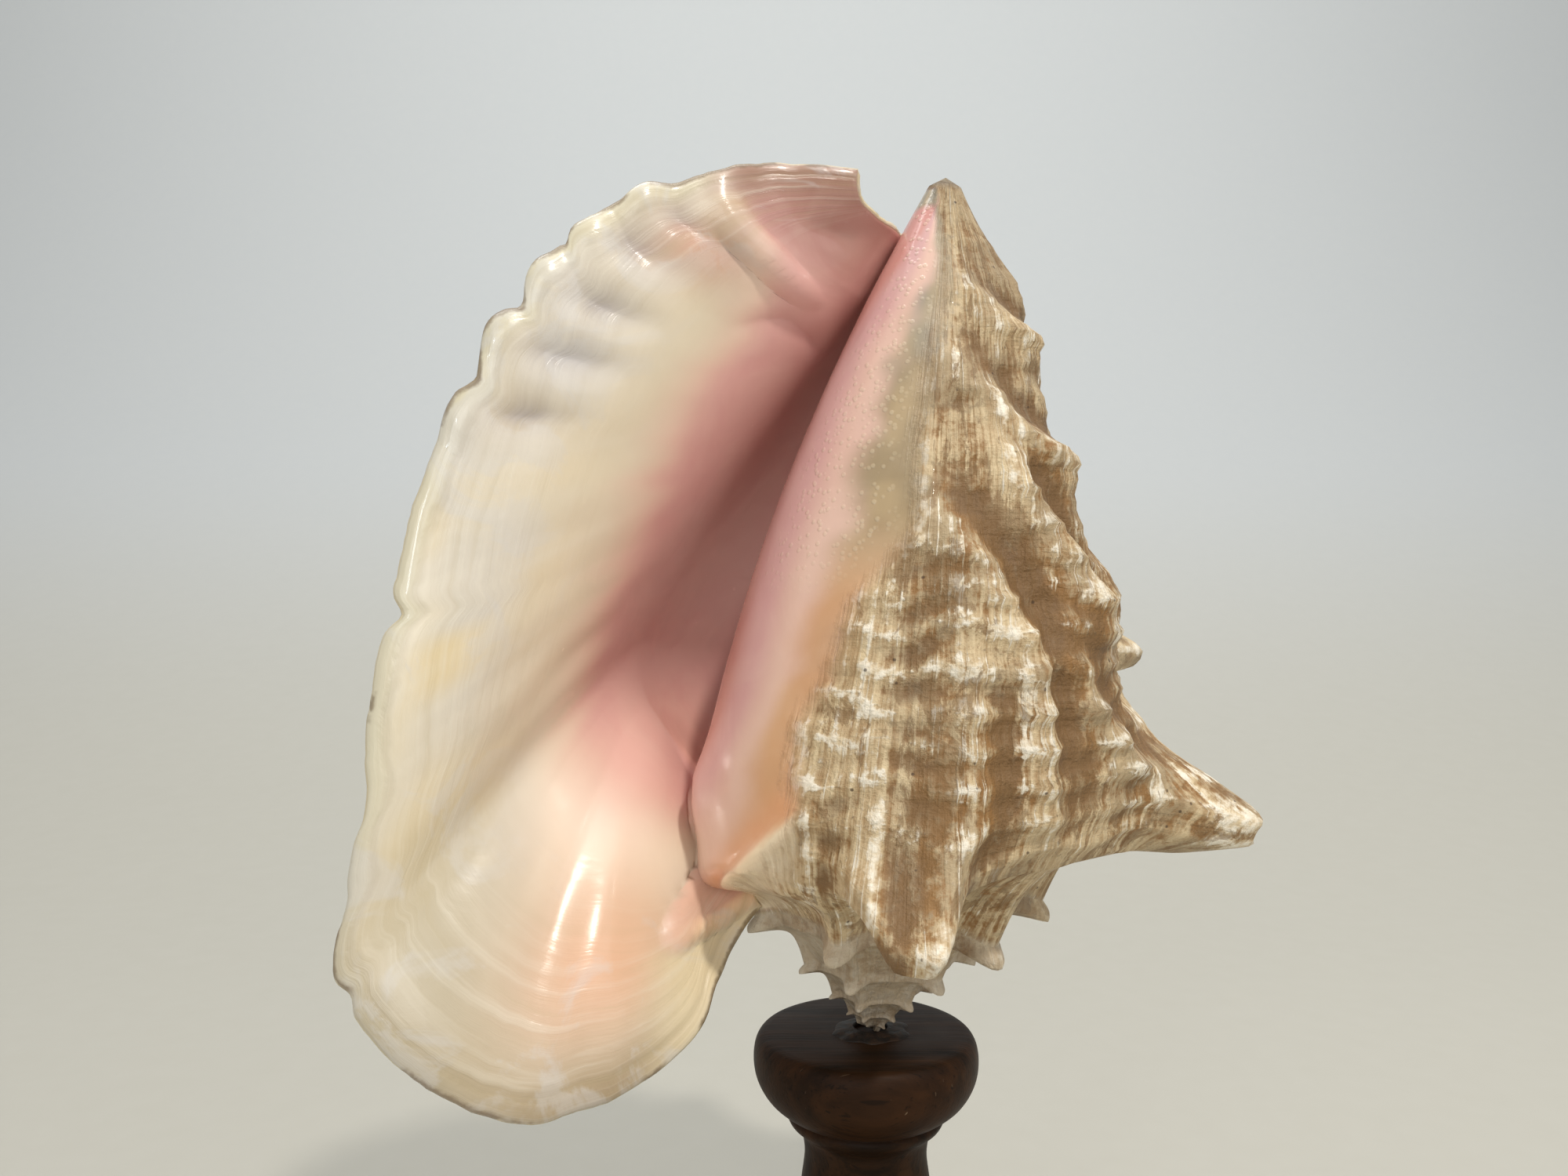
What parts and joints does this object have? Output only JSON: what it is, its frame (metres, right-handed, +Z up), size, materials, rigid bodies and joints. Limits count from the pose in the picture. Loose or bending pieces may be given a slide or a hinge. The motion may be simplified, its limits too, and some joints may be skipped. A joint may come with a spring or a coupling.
{
  "type": "conch shell on stand",
  "caption": "Queen conch shell with a wide flared lip and blunt spines, standing on its spire on a turned dark wooden pedestal with a round foot.",
  "frame": {"origin": "middle of the foot's flat underside, on the pedestal's turning axis", "axes": "+Z up along the pedestal's axis, -Y towards the viewer that the shell's mouth faces, +X to that viewer's right"},
  "size_m": [0.2207, 0.1786, 0.3602],
  "materials": {
    "shell": "glossy ivory and rose enamel inside the mouth, dull ochre and white ribbed crust outside",
    "wood": "dark stained wood, satin",
    "adhesive": "dark dried adhesive"
  },
  "bodies": {
    "root": {"shell": "shell", "stand_column": "wood", "stand_foot": "wood", "adhesive_bead": "adhesive"}
  },
  "joints": []
}
